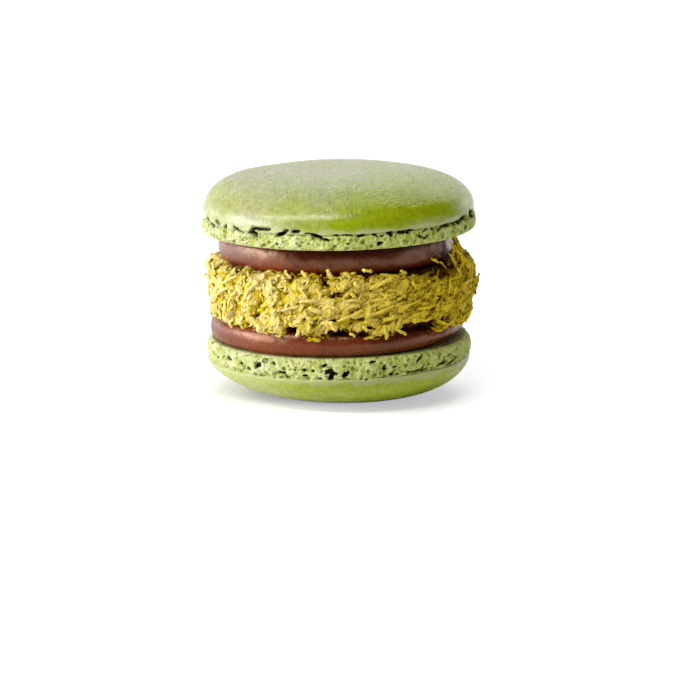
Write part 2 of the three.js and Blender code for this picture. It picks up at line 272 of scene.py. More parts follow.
def shell_piece(name, shell, pits):
    """A whole shell: dome rows, then the craggy side, then the flat face, all as rings about the axis."""
    azimuth = np.linspace(0, 2 * math.pi, AROUND, endpoint=False)
    dome_radii, dome_heights = dome_curve(shell)
    edge_heights = np.arange(EDGE_TOP, -shell["foot_height"], -EDGE_STEP)
    flat_radii = np.linspace(shell["foot_radius"] - FOOT_SWELL - shell["foot_corner"], POLE_GAP, FLAT_ROWS)
    radii = np.concatenate([dome_radii, edge_radius(shell, edge_heights), flat_radii])[:, None]
    heights = np.concatenate([dome_heights, edge_heights, np.full(FLAT_ROWS, -shell["foot_height"])])[:, None]
    radii, azimuth, heights = np.broadcast_arrays(radii, azimuth, heights)
    place = wheel(radii, azimuth, heights) + 7.3 * shell["seed"]

    side = smooth_step(-shell["foot_height"] - 0.01, -shell["foot_height"] + 0.5, heights)
    foot = smooth_step(0.1, -0.2, heights)
    crags = layered_lumps(place, CRAGS)
    bubbles = [open_bubbles(place, shell["pore_share"], kind) for kind in (COARSE_BUBBLES, FINE_BUBBLES)]
    pore = foot * side * sum(bubbles)
    pit = pit_depth(place, azimuth, heights, radii, pits, shell["side_up"])
    swell = layered_lumps(place, SWELL)
    flat = heights <= -shell["foot_height"]
    above = np.clip(heights / shell["dome_height"], 0, 1)
    outwards = swell * (1 - above) + foot * side * shell["crag"] * crags - pore - pit
    radii = radii + np.where(flat, 0, outwards)
    waver = layered_lumps(place, CRACK_WAVER) * np.exp(-((heights / 0.5) ** 2))
    crown = 1 - smooth_step(0.97, 1, above) if shell["flat_cut"] else 1
    heights = heights + waver + 0.6 * swell * above * crown
    across = radii * np.sin(azimuth)
    sag = shell["sag"] * np.exp(-(((across - SAG_MIDDLE) / SAG_WIDTH) ** 2))
    heights = heights - sag * smooth_step(0.2, 0.7, above)
    world = shell["crack_level"] + shell["side_up"] * heights
    if shell["flat_cut"]:
        world = np.maximum(world, 0)
    # Painted shade: the pits, cracks, open bubbles and flat face are coloured darker, where shade falls.
    hollow_shade = np.clip(2 * pit + 0.9 * pore + shell["flat_shade"] * flat, 0, 1)
    # The crumb is paler on the crags and darker in the open bubbles: partly its own colour, partly painted
    # light on the crags and painted shade in the bubbles.
    crumb_and_shade = np.clip(0.5 + 0.35 * crags - pore, 0, 1)
    lip_top = LIP_TOP + layered_lumps(place, LIP_WAVER)
    lip = smooth_step(lip_top + 0.35, lip_top - 0.35, heights) * (heights > -0.1)
    values = {"foot": foot, "hollow_shade": hollow_shade, "crumb_and_shade": crumb_and_shade, "lip": lip}
    return closed_rings(name, out_of_true(wheel(radii, azimuth, world)), values)


def set_inputs(tree, node, inputs):
    """Each input of a node linked, where it is given a socket, or set to the value that it is given."""
    for key, value in inputs.items():
        if isinstance(value, bpy.types.NodeSocket):
            tree.links.new(value, node.inputs[key])
        else:
            node.inputs[key].default_value = value


def add_node(tree, kind, inputs, **settings):
    """A shader node with its settings and its inputs."""
    made = tree.nodes.new(kind)
    for key, value in settings.items():
        setattr(made, key, value)
    set_inputs(tree, made, inputs)
    return made


def mixed(tree, factor, first, second, blend="MIX"):
    """The colour socket of a mix of two colours."""
    colours = {0: factor, 6: first, 7: second}
    return add_node(tree, "ShaderNodeMix", colours, data_type="RGBA", blend_type=blend).outputs[2]


def computed(tree, operation, *values, clamp=False):
    """The socket of one sum on sockets and numbers."""
    sum_of = dict(enumerate(values))
    return add_node(tree, "ShaderNodeMath", sum_of, operation=operation, use_clamp=clamp).outputs[0]


def stretched(tree, value, low, high, to_low=0.0, to_high=1.0, way="LINEAR"):
    """The socket of a value whose range from low to high is stretched to another one and held at its ends."""
    ends = {"Value": value, "From Min": low, "From Max": high, "To Min": to_low, "To Max": to_high}
    return add_node(tree, "ShaderNodeMapRange", ends, interpolation_type=way).outputs["Result"]


def object_place(tree):
    """The place on the piece, in metres."""
    return tree.nodes.new("ShaderNodeTexCoord").outputs["Object"]


def place_along(tree, direction):
    """How far the place lies along a direction, in metres."""
    both = {0: object_place(tree), 1: direction}
    return add_node(tree, "ShaderNodeVectorMath", both, operation="DOT_PRODUCT").outputs["Value"]


def noise(tree, place, scale, detail, roughness=0.5):
    """The two sockets, value and colour, of noise with that many cycles a metre."""
    inputs = {"Vector": place, "Scale": scale, "Detail": detail, "Roughness": roughness}
    made = add_node(tree, "ShaderNodeTexNoise", inputs).outputs
    return made["Fac"], made["Color"]


def bumped(tree, height, strength, distance):
    """The normal over a relief of that many metres."""
    relief = {"Height": height, "Strength": strength, "Distance": distance}
    return add_node(tree, "ShaderNodeBump", relief).outputs["Normal"]


def new_group(name, inputs, outputs):
    """An empty shader node group with float inputs and their defaults, and float outputs."""
    group = bpy.data.node_groups.new(name, "ShaderNodeTree")
    for label, value in inputs.items():
        group.interface.new_socket(label, in_out="INPUT", socket_type="NodeSocketFloat").default_value = value
    for label in outputs:
        group.interface.new_socket(label, in_out="OUTPUT", socket_type="NodeSocketFloat")
    return group, group.nodes.new("NodeGroupInput"), group.nodes.new("NodeGroupOutput")


def grain_group():
    """Fine and coarse noise in object space as one height, and a slow drift, in cycles a metre."""
    inputs = {"Fine": 3000, "Coarse": 700, "Coarse share": 0.5}
    group, given, result = new_group("grain", inputs, ("Height", "Drift"))
    place = object_place(group)
    fine = noise(group, place, given.outputs["Fine"], 3)[0]
    coarse = noise(group, place, given.outputs["Coarse"], 3)[0]
    shares = {0: given.outputs["Coarse share"], 2: fine, 3: coarse}
    height = add_node(group, "ShaderNodeMix", shares).outputs[0]
    set_inputs(group, result, {"Height": height, "Drift": noise(group, place, DRIFT_SCALE, 4, 0.6)[0]})
    return group


def grained(tree, fine, coarse):
    """The height and the drift of the grain at those sizes."""
    made = add_node(tree, "ShaderNodeGroup", {"Fine": fine, "Coarse": coarse}, node_tree=GRAIN).outputs
    return made["Height"], made["Drift"]


def new_material(name):
    """A material with an empty tree but for its Principled shader and output."""
    material = bpy.data.materials.new(name)
    material.use_nodes = True
    tree = material.node_tree
    return material, tree, tree.nodes["Principled BSDF"]


def attribute(tree, label):
    """The number that a piece carries at each point under that label."""
    return add_node(tree, "ShaderNodeAttribute", {}, attribute_name=label).outputs["Fac"]


DRIFT_SCALE = 110
GRAIN = grain_group()
LOWER_GREEN = (0.45, 0.53, 0.02, 1)
# The pale green is partly a painted sheen.
LOWER_PALE_SHEEN_GREEN = (0.57, 0.61, 0.19, 1)
FOOT_GREEN = (0.41, 0.46, 0.07, 1)
FOOT_CREAM = (0.76, 0.77, 0.46, 1)
LIP_GREEN = (0.54, 0.56, 0.25, 1)
# Painted shade in the foot's pores.
PORE_SHADE_GREEN = (0.16, 0.17, 0.012, 1)
# Painted shade in the pits, cracks and bubbles and on the flat face.
HOLLOW_SHADE_GREEN = (0.012, 0.018, 0.001, 1)
# Painted on the crumb towards the front right: greener, brighter and less blue.
SHEENLESS_CRUMB = (1.06, 1.11, 0.62, 1)
# The front right, where no sheen is painted on the skin and the crumb is painted greener and brighter:
# the way there, and how far along it that begins and is full.
SHEENLESS_SIDE = (0.6, -0.8, 0)
SHEENLESS_FROM, SHEENLESS_TO = 0.006, 0.025
# The crown, near whose height the grain fades.
CROWN_FROM, CROWN_TO = 0.0365, 0.0395
SHELL_RELIEF = 0.0011
SHELL_GRAIN = (2300, 950)


def pore_group():
    """Round pores as a mask, 1 inside: the distance to the nearest point, below a limit that wanders."""
    group, given, result = new_group("pores", {"Scale": 1200, "Wander": 0.0007}, ("Mask",))
    place = object_place(group)
    wander = {0: noise(group, place, 1700, 3)[1], 1: given.outputs["Wander"], 2: place}
    wandered = add_node(group, "ShaderNodeVectorMath", wander, operation="MULTIPLY_ADD").outputs[0]
    bubble = add_node(group, "ShaderNodeTexVoronoi", {"Vector": wandered, "Scale": given.outputs["Scale"]})
    limit = stretched(group, noise(group, place, 500, 2)[0], 0.35, 0.7, 0.05, 0.42)
    inside = computed(group, "SUBTRACT", limit, bubble.outputs["Distance"])
    set_inputs(group, result, {"Mask": stretched(group, inside, -0.03, 0.06)})
    return group


PORES = pore_group()


def shell_material(name, green, pale_sheen_green):
    """Dry meringue: a satin green skin with fine grain on the dome, and a paler, open crumb on the foot.

    The skin is paler in random patches, partly as a painted sheen, which is left off towards the front right;
    there the crumb is painted greener and brighter. Shade is painted into the pits, cracks, bubbles and flat
    face.
    """
    material, tree, shader = new_material(name)
    grain, drift = grained(tree, *SHELL_GRAIN)
    foot = attribute(tree, "foot")
    sheenless = stretched(tree, place_along(tree, SHEENLESS_SIDE), SHEENLESS_FROM, SHEENLESS_TO)
    drifting = stretched(tree, drift, 0.3, 0.7, 0.4, 1.2)
    # Paler in random patches, partly as a painted sheen, which is left off towards the front right.
    paler = computed(tree, "MULTIPLY_ADD", sheenless, -1.35, drifting, clamp=True)
    mottle = stretched(tree, grain, 0.4, 0.6, 0.82, 1.18)
    dome = mixed(tree, 1.0, mixed(tree, paler, green, pale_sheen_green), mottle, "MULTIPLY")
    # The crumb's pale tops are partly painted light, and its dark bubbles painted shade.
    crumb_and_shade = mixed(tree, attribute(tree, "crumb_and_shade"), FOOT_GREEN, FOOT_CREAM)
    # Towards the front right the crumb is painted greener and brighter, with less blue.
    crumb_and_shade = mixed(tree, sheenless, crumb_and_shade, mixed(tree, 1.0, crumb_and_shade, SHEENLESS_CRUMB, "MULTIPLY"))
    colour = mixed(tree, foot, dome, crumb_and_shade)
    colour = mixed(tree, computed(tree, "MULTIPLY", attribute(tree, "lip"), 0.75), colour, LIP_GREEN)
    pores = add_node(tree, "ShaderNodeGroup", {}, node_tree=PORES).outputs["Mask"]
    pores = computed(tree, "MULTIPLY", pores, foot)
    # The pores are pressed in by the bump, and painted darker as their shade.
    colour = mixed(tree, pores, colour, PORE_SHADE_GREEN)
    # Painted shade in the pits, cracks and bubbles and on the flat face.
    colour = mixed(tree, attribute(tree, "hollow_shade"), colour, HOLLOW_SHADE_GREEN)
    relief = computed(tree, "MULTIPLY_ADD", pores, -0.5, grain)
    crown = stretched(tree, place_along(tree, (0, 0, 1)), CROWN_FROM, CROWN_TO, 0.12, 1)
    strength = computed(tree, "MULTIPLY_ADD", foot, 0.35, crown)
    set_inputs(tree, shader, {
        "Base Color": colour,
        "Roughness": stretched(tree, foot, 0, 1, 0.23, 0.85),
        "Normal": bumped(tree, relief, strength, SHELL_RELIEF),
        "IOR": 1.53,
    })
    return material


lower_shell = shell_piece("lower_shell_baked", LOWER_SHELL, LOWER_PITS)
lower_shell.data.materials.append(shell_material("lower_almond_shell", LOWER_GREEN, LOWER_PALE_SHEEN_GREEN))
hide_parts("lower_shell")
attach(lower_shell, "root")

# Lower ganache. A piped disc of chocolate and cream, pressed until its edge bulges all round. It is smooth
# and softly glossy, and sticks to the foot below it and the pastry above it.
LOWER_GANACHE = {"radius": 22.9, "x": -0.3, "low": 10.6, "high": 14.9, "bulge": 1.3, "seed": 8,
                 "undercut": 1.3, "undercut_at": 62, "painted_shade": 0.0, "painted_sheen": 0.1}
GANACHE_AROUND = 420
GANACHE_EDGE_ROWS = 30
GANACHE_FACE_ROWS = 3
GANACHE_BROWN = (0.10, 0.010, 0.002, 1)
GANACHE_LIGHT_BROWN = (0.20, 0.032, 0.005, 1)
# Painted shade on the ganache's edges and under the upper shell.
GANACHE_SHADE = (0.05, 0.003, 0.001, 1)
# A painted sheen at the left.
GANACHE_PAINTED_SHEEN = (0.27, 0.13, 0.11, 1)
GANACHE_SHEEN = (1, 0.7, 0.45, 1)
GANACHE_RELIEF = 0.00007
GANACHE_GRAIN = (3600, 1300)
GANACHE_WAVER = ((0.18, 7, 1), (0.09, 2.5, 2), (0.04, 1.1, 3))


def ganache_piece(name, ganache):
    """A disc whose edge is a half ellipse: r = R - b (1 - cos a), z from low to high by 1 + sin a. It wavers.

    At one azimuth its lower half is cut under. Shade is painted darker along both edges and, by a share, over
    the upper half, but not at the left. At the left a sheen is painted paler, above the lowest part."""
    azimuth = np.linspace(-math.pi, math.pi, GANACHE_AROUND, endpoint=False)
    angle = np.linspace(-math.pi / 2, math.pi / 2, GANACHE_EDGE_ROWS)
    half = (ganache["high"] - ganache["low"]) / 2
    edge = ganache["radius"] - ganache["bulge"] * (1 - np.cos(angle))
    face = np.linspace(0.5, edge[0] - 0.5, GANACHE_FACE_ROWS)
    radii = np.concatenate([face, edge, face[::-1]])[:, None]
    heights = np.concatenate([0 * face, half * (1 + np.sin(angle)), 0 * face + 2 * half])[:, None]
    heights = heights + ganache["low"]
    radii, azimuth, heights = np.broadcast_arrays(radii, azimuth, heights)
    place = wheel(radii, azimuth, heights) + 5.1 * ganache["seed"]
    waver = layered_lumps(place, GANACHE_WAVER)
    low_side = np.clip(1 - (heights - ganache["low"]) / half, 0, 1)
    undercut = np.exp(-((turned_from(azimuth, ganache["undercut_at"]) / 0.5) ** 2))
    waver = waver - ganache["undercut"] * undercut * low_side
    radii = radii + waver * (radii > edge[0] - 0.1)
    points = wheel(radii, azimuth, heights)
    points[..., 0] += ganache["x"]
    share = (heights - ganache["low"]) / (2 * half)
    # Painted shade: darker along both edges, where the neighbours meet it, and over the upper half under the
    # shell, but not at the left.
    edges = np.maximum(smooth_step(0.2, 0.05, share), smooth_step(0.8, 0.95, share))
    painted_shade = np.maximum(ganache["painted_shade"] * smooth_step(0.45, 0.8, share), edges)
    painted_shade = painted_shade * smooth_step(-0.6, -0.2, azimuth)
    # Painted sheen: paler at the left, above the lowest part.
    left = smooth_step(-0.3, -0.9, azimuth) * smooth_step(-2.6, -2.0, azimuth)
    painted_sheen = ganache["painted_sheen"] * left * smooth_step(0.15, 0.5, share)
    return closed_rings(name, out_of_true(points), {"painted_shade": painted_shade, "painted_sheen": painted_sheen})


def ganache_material():
    """Set chocolate cream: dark brown with a soft gloss that a fine grain breaks up, with painted shade and a
    painted sheen.
    """
    material, tree, shader = new_material("chocolate_ganache")
    grain, drift = grained(tree, *GANACHE_GRAIN)
    colour = mixed(tree, stretched(tree, drift, 0.3, 0.7), GANACHE_BROWN, GANACHE_LIGHT_BROWN)
    # Painted sheen.
    colour = mixed(tree, attribute(tree, "painted_sheen"), colour, GANACHE_PAINTED_SHEEN)
    # Painted shade.
    colour = mixed(tree, attribute(tree, "painted_shade"), colour, GANACHE_SHADE)
    set_inputs(tree, shader, {
        "Base Color": colour,
        "Roughness": stretched(tree, grain, 0.3, 0.7, 0.18, 0.36),
        "Normal": bumped(tree, grain, 1.0, GANACHE_RELIEF),
        "IOR": 1.72,
        "Specular Tint": GANACHE_SHEEN,
    })
    return material


GANACHE_MATERIAL = ganache_material()
lower_ganache = ganache_piece("lower_ganache_disc", LOWER_GANACHE)
lower_ganache.data.materials.append(GANACHE_MATERIAL)
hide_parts("lower_ganache")
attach(lower_ganache, "root")

# Pastry core. Pistachio cream thick with toasted shreds, scooped into a thick disc. Its side is heaped in
# ridges along the strands, with deep hollows painted dark olive as shade, and chocolate has stained it by the
# upper ganache.
PASTRY = {"radius": 23.5, "low": 14.4, "high": 25.15, "top_corner": 2.3, "low_corner": 1.5, "inner": 20.2,
          "x": 0.5}
# Lumps and hollows: azimuth, height, half width, half height, and how far out (or in, where it is below 0).
PASTRY_FORMS = (
    (-22, 15, 1.3, 1, -2.6), (-0.8, 15.1, 1.9, 0.8, -2.8), (9.5, 15.1, 1.5, 0.6, -2.2),
    (21, 15, 0.9, 0.5, -1.4), (37, 15.3, 4.2, 1.4, -3.4), (-44.5, 14.8, 0.9, 0.5, -1.2),
    (-52, 14.6, 1, 0.4, -1), (-39.5, 25.6, 1.1, 0.5, -1.8), (-25.4, 25.9, 0.5, 0.5, -1.2),
    (-19.9, 25.9, 0.7, 0.5, -1.6), (-22.6, 24.4, 0.5, 0.4, -1.2), (-12.4, 26, 0.5, 0.4, -1),
    (-1.8, 25.9, 0.8, 0.7, -2.2), (4.4, 26.2, 0.8, 0.5, -1.8), (9.9, 26.2, 0.5, 0.4, -1.2),
    (18, 25.8, 1.5, 0.45, -1.6), (25.4, 25.8, 0.6, 0.4, -1.2), (35, 26.1, 0.8, 0.4, -1.2),
    (40.2, 24.9, 0.6, 0.4, -1.2), (-7.3, 24.1, 0.45, 0.9, -1.8), (6.1, 18, 0.9, 0.35, -1.3),
    (-2.7, 17.9, 0.8, 0.3, -1.2), (47.5, 20, 0.7, 0.6, -1.4), (50.1, 24, 0.6, 0.55, -2.2),
    (57.6, 23, 0.5, 0.9, -1.2), (21.3, 24.1, 0.6, 0.4, -0.8), (29.3, 24.2, 0.8, 0.35, -1),
    (53.7, 21.7, 0.35, 1.2, -1.2), (34.3, 22.9, 0.3, 0.8, -1), (20, 18.5, 0.6, 0.5, -0.8),
    (-40.8, 17, 0.7, 0.5, -0.9), (-0.2, 22.4, 0.8, 0.4, -1), (5.7, 21.8, 0.5, 0.4, -1),
    (8.6, 19.4, 0.8, 0.3, -0.7), (11.6, 24.7, 0.8, 0.3, -0.7), (66.4, 18.4, 0.5, 0.6, -1),
    (-39.1, 18.2, 1, 1.2, -0.5), (-10.3, 16.7, 1, 0.8, -0.6), (-25.5, 20, 0.6, 2.6, -0.6),
    (-54, 22.3, 0.5, 1.2, -0.4), (-53.6, 18.8, 0.4, 1.3, -0.5), (-39.6, 22.5, 0.4, 1.6, -0.5),
    (-31, 22.5, 1.3, 2.6, 0.5), (-30.3, 17.9, 1.8, 1.3, 0.4), (-46, 18.4, 1, 1.6, 0.35),
    (-16.8, 21.8, 1.6, 1.4, 0.4), (-12.5, 24.2, 1.2, 0.9, 0.5), (-4.8, 16.2, 1.4, 0.8, 0.6),
    (-16, 15.3, 1.3, 0.8, 0.5), (7.4, 24.3, 1.2, 0.9, 0.5), (1.3, 24.3, 0.8, 1.2, 0.5),
    (-3.1, 23.8, 0.6, 0.8, 0.4), (16.4, 24.3, 1.5, 0.6, 0.5), (23, 17.2, 1.5, 1.2, 0.5),
    (29.3, 22.4, 1.2, 1, 0.4), (22.2, 20.2, 1.5, 0.8, 0.3), (47.5, 21.6, 0.9, 0.9, 0.5),
    (33.8, 17.6, 1.5, 0.7, 0.4), (60.1, 24.8, 0.6, 1.2, 0.3), (77, 21.2, 1.5, 2, 0.4),
    (11.6, 19.2, 1.2, 0.7, 0.4), (-3, 20, 1.2, 0.9, 0.3), (5.7, 20.2, 1, 0.5, 0.3), (54, 18.5, 1, 1.5, 0.3),
    (78, 26, 5, 1.2, -0.7), (100, 15.2, 2.6, 0.8, -2), (150, 15, 3, 0.8, -2.2), (200, 15.2, 2.2, 0.8, -2),
    (245, 15.1, 2.8, 0.8, -2), (120, 25.6, 2, 0.6, -1.4), (175, 25.8, 2.6, 0.5, -1.4),
    (230, 25.6, 1.6, 0.6, -1.4), (130, 21, 0.5, 1, -1.4), (165, 19, 0.9, 0.4, -1.3),
    (215, 22, 0.5, 0.9, -1.4), (255, 20, 0.8, 0.4, -1.2), (185, 23, 1.2, 1, 0.5), (145, 18, 1.4, 0.8, 0.5),
    (235, 17.5, 1.2, 1.4, 0.5), (110, 20, 0.8, 2, 0.5), (13, 25.5, 1.6, 0.45, -1.2),
    (24, 25.5, 2, 0.5, -1.4), (33, 25.4, 1.8, 0.5, -1.4), (41, 25.2, 1.4, 0.4, -0.9),
    (50, 25, 0.9, 0.5, -0.6), (47, 26.2, 3.6, 0.9, 0.5), (86, 22, 3.4, 3, 0.55), (91, 17.5, 3, 1.6, -0.3),
    (52, 16.2, 0.9, 0.7, -1.2), (28, 20.8, 0.9, 0.4, -0.9), (41, 22.6, 1.1, 0.4, -0.9),
    (59, 19.6, 0.9, 0.6, -1), (45, 18.6, 0.9, 0.35, -0.8), (34, 20.2, 0.8, 0.35, -0.8),
    (66, 22.3, 0.7, 0.9, -0.9), (70, 20, 0.6, 0.5, -0.9), (-84, 26.2, 3.6, 1.4, 0.7),
    (-86, 21.5, 5, 3.4, 0.5), (84, 19.6, 3, 1.6, 0.5), (84, 15, 3, 0.9, -0.8), (-2, 21.9, 1, 0.5, -1),
    (-2.5, 17.6, 1.3, 0.3, -1.3), (8.5, 17.9, 1.1, 0.35, -1.2), (16, 23.3, 0.7, 0.3, -0.9),
    (-20.5, 22, 0.5, 0.3, -0.9), (-15, 17.6, 0.6, 0.35, -1), (13, 16.2, 0.9, 0.35, -1),
    (-34, 14.5, 1.8, 0.5, 0.4), (-27, 14.4, 1.3, 0.5, 0.6), (-13, 14.2, 1.6, 0.6, 0.8),
    (-6, 14.2, 1.1, 0.5, 0.7),
)
# Zones round the layer: azimuth, and how steeply most strands rise there, in degrees.
STRAND_ZONES = ((-135, 15), (-92, 55), (-45, 68), (-8, 42), (24, 22), (62, 48), (100, 70), (140, -25),
                (180, 50))
ZONE_WIDTH = 24
# Ridges: how much, how long, how wide, and the seed.
RIDGES = ((0.5, 3.8, 1.5, 22), (0.2, 2.2, 0.8, 25))
SMALL_LUMPS = ((0.35, 1.6, 20),)
BROAD_LUMPS = ((0.4, 3.8, 21),)
GRIT = ((0.3, 0.9, 23), (0.2, 0.45, 24))
MATTED_AT = -62
MATTED_WIDTH = 0.65
# Chocolate: azimuth and width in degrees, the heights where it begins and is full, and how much.
STAINS = ((52, 19, 21.8, 25.2, 1), (-57, 18, 23.7, 25.2, 0.9))
CORE_AROUND = 840
CORE_ROWS = 110
CORE_INSET = 0.15
FACE_SHARE = 0.6


def pastry_outline(way):
    """Radius, height and outward angle at a way along the outline, 0 at the upper face and 1 at the lower.

    The outline is a straight side between two quarter-circle corners and a short run on each face."""
    keys = ("radius", "low", "high", "top_corner", "low_corner", "inner")
    radius, low, high, top, foot, inner = (PASTRY[key] for key in keys)
    upper, lower = radius - top, radius - foot
    quarter = math.pi / 2
    side = high - low - top - foot
    stops = np.cumsum([0, upper - inner, top * quarter, side, foot * quarter, lower - inner])
    travelled = way * stops[-1]
    angle = np.interp(travelled, stops, np.radians([90, 90, 0, 0, -90, -90]))
    corner = np.interp(travelled, stops, 3 * [top] + 3 * [foot])
    run = np.interp(travelled, stops, [inner, upper, upper, lower, lower, inner])
    level = np.interp(travelled, stops, 3 * [high - top] + 3 * [low + foot])
    return run + corner * np.cos(angle), level + corner * np.sin(angle), angle


def strand_ridges(azimuth, height, length, width, seed):
    """Ridges of about that length and width along the strands, from -1 to 1.

    Each zone has lumps drawn out along its slope on the rolled-out side, and the zones blend."""
    total, power = 0, 0
    for centre, slope in STRAND_ZONES:
        turned = turned_from(azimuth, centre)
        around = PASTRY["radius"] * turned
        lean = math.radians(slope)
        along = around * math.cos(lean) + height * math.sin(lean)
        across = height * math.cos(lean) - around * math.sin(lean)
        weight = np.exp(-((np.degrees(turned) / ZONE_WIDTH) ** 2))
        place = np.stack(np.broadcast_arrays(along / length, across / width, centre + 0.5), axis=-1)
        total = total + weight * lumps(place, 1, seed)
        power = power + weight**2
    return total / np.sqrt(power)


def strand_slope(azimuth):
    """How steeply the strands rise at an azimuth, in radians, by the same zones."""
    centres, slopes = np.radians(STRAND_ZONES).T
    return np.interp(azimuth, centres, slopes, period=2 * math.pi)


def pastry_forms(azimuth, height):
    """The sum of the lumps and hollows at a place on the side, each a soft-edged ellipse."""
    total = np.zeros(np.broadcast(azimuth, height).shape)
    for centre, level, half_width, half_height, amount in PASTRY_FORMS:
        along = PASTRY["radius"] * turned_from(azimuth, centre)
        distance = np.hypot(along / half_width, (height - level) / half_height)
        total = total + amount * smooth_step(1.4, 0.6, distance)
    return total


def matted(azimuth):
    """1 at the left of the front, where the cream has matted the strands, and 0 elsewhere."""
    return np.exp(-((turned_from(azimuth, MATTED_AT) / MATTED_WIDTH) ** 4))


def pastry_pile(azimuth, height):
    """How far the pile stands out at a place on the side, and the share that paints shade into the tone.

    That share is small lumps, ridges along the strands, and the forms. The pile has broad lumps as well."""
    place = wheel(PASTRY["radius"], azimuth, height)
    ridges = sum(amount * strand_ridges(azimuth, height, *kind) for amount, *kind in RIDGES)
    relief = layered_lumps(place, SMALL_LUMPS) + ridges * (1 + 0.4 * matted(azimuth))
    relief = relief + pastry_forms(azimuth, height)
    return relief + layered_lumps(place, BROAD_LUMPS), relief


def chocolate_stain(azimuth, height):
    """Share of chocolate on the pastry: strongest by the upper ganache at the left and right of the front."""
    total = 0
    for centre, width, begins, full, amount in STAINS:
        beside = np.exp(-(((np.degrees(azimuth) - centre) / width) ** 2))
        total = np.maximum(total, amount * beside * smooth_step(begins, full, height))
    return total


def dim_side(azimuth):
    """0 at the left of the front and 1 at the right and back, which the lamps light less. There the tone is
    painted lighter to make up for that, more shade is painted between and under the strands, and more
    strands are stained brown.
    """
    return smooth_step(-0.4, 0.9, azimuth)


def edge_shade(azimuth, angle):
    """1 on the layer's upper and lower faces, but not at the left of the front, where light gets in."""
    lit = smooth_step(0.5, 1.1, matted(azimuth) * 1.2)
    return smooth_step(0.7, 0.95, np.abs(np.sin(angle))) * (1 - lit)


def pastry_core():
    """The core's skin: the outline turned about the axis, pushed out by the pile and in by the hollows."""
    azimuth = np.linspace(-math.pi, math.pi, CORE_AROUND, endpoint=False)
    radii, heights, angle = (part[:, None] for part in pastry_outline(np.linspace(0, 1, CORE_ROWS)))
    radii, azimuth, heights, angle = np.broadcast_arrays(radii, azimuth, heights, angle)
    place = wheel(radii, azimuth, heights)
    pile, relief = pastry_pile(azimuth, heights)
    grit = layered_lumps(place, GRIT)
    side = smooth_step(PASTRY["inner"], PASTRY["inner"] + 1, radii)
    out = side * (pile + grit - CORE_INSET)
    points = wheel(radii + out * np.cos(angle), azimuth, heights + out * np.sin(angle) * FACE_SHARE)
    points[..., 0] += PASTRY["x"]
    # Painted shade: the tone is lower in hollows, in the grit's low spots and on the faces, and higher on
    # lumps. On the dim side it is painted lighter to make up for the light.
    tone = 0.39 + 0.1 * matted(azimuth) + 0.24 * dim_side(azimuth) + 0.45 * relief
    tone = np.clip(tone + 0.8 * grit - 0.5 * edge_shade(azimuth, angle), 0, 1)
    # Painted shade: the grit's low spots are stained brown as shade, more on the dim side.
    in_shade = (0.2 + 0.3 * dim_side(azimuth)) * smooth_step(0, -0.3, grit)
    stain_and_shade = np.maximum(chocolate_stain(azimuth, heights), in_shade)
    return closed_rings("pastry_core", out_of_true(points), {"tone": tone, "stain_and_shade": stain_and_shade})


# Colours by tone: near black for the painted shade in the gaps, then deep brown, olive, yellow and cream.
SHRED_TONES = (
    (0, (0.02, 0.006, 0, 1)),
    (0.15, (0.24, 0.08, 0, 1)),
    (0.37, (0.52, 0.375, 0, 1)),
    (0.67, (0.75, 0.59, 0.03, 1)),
    (1, (0.84, 0.70, 0.31, 1)),
)
# Painted shade: a golden tint towards the right.
SHADE_TINT = (1, 0.92, 0.13, 1)
# Brown for the chocolate stain, and for painted shade.
STAIN_AND_SHADE_BROWN = (0.085, 0.021, 0.002, 1)
PASTRY_SHEEN = (1, 0.92, 0.2, 1)
PASTRY_RELIEF = 0.0002
PASTRY_GRAIN = (2800, 1300)
# The side where the pastry is painted golden, with less blue, as shade: the way there, and how far along it
# that begins and is full.
SHADE_TINT_WAY = (0.9, -0.4, 0)
SHADE_TINT_FROM, SHADE_TINT_TO = -0.004, 0.022


def pastry_material():
    """Toasted pastry wet with pistachio cream: from olive through yellow to cream by tone, stained brown.

    Shade is painted into the tone and the stain, and towards the right as a golden tint.
    """
    material, tree, shader = new_material("shredded_pastry")
    grain = grained(tree, *PASTRY_GRAIN)[0]
    speckle = computed(tree, "SUBTRACT", grain, 0.5)
    tone = computed(tree, "MULTIPLY_ADD", speckle, 1.8, attribute(tree, "tone"))
    ramp = add_node(tree, "ShaderNodeValToRGB", {"Fac": tone})
    stops = ramp.color_ramp.elements
    stops[0].color, stops[1].color = SHRED_TONES[0][1], SHRED_TONES[-1][1]
    for position, colour in SHRED_TONES[1:-1]:
        stops.new(position).color = colour
    # Painted shade: towards the right the colour is tinted golden, with less blue.
    shade_side = stretched(tree, place_along(tree, SHADE_TINT_WAY), SHADE_TINT_FROM, SHADE_TINT_TO)
    shade_tint = mixed(tree, shade_side, (1, 1, 1, 1), SHADE_TINT)
    colour = mixed(tree, 1.0, ramp.outputs["Color"], shade_tint, "MULTIPLY")
    set_inputs(tree, shader, {
        "Base Color": mixed(tree, attribute(tree, "stain_and_shade"), colour, STAIN_AND_SHADE_BROWN),
        "Roughness": 0.45,
        "Normal": bumped(tree, grain, 1.0, PASTRY_RELIEF),
        "IOR": 1.15,
        "Specular Tint": PASTRY_SHEEN,
    })
    return material


PASTRY_MATERIAL = pastry_material()
core = pastry_core()
core.data.materials.append(PASTRY_MATERIAL)
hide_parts("shredded_pastry")
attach(core, "root")

# Shreds, crumbs and flakes. Shreds are fine toasted strands a few millimetres long, most along the ridges,
# some sticking out, all matted by the cream. Crumbs are small broken bits that fill the spaces between them.
# Flakes are broad, thin, paler slivers of strands that were baked together.
STICK_WAVER = 0.055
TAPER = 0.72
TIP_LENGTH = 0.18
# Painted light on the outward side of each stick.
UPPER_SIDE_LIGHT = 0.38
SPECKLE = 0.06
OUTWARD_TIP = 0.22
STICK_BEND = 0.07
MAT_SINK = 0.12
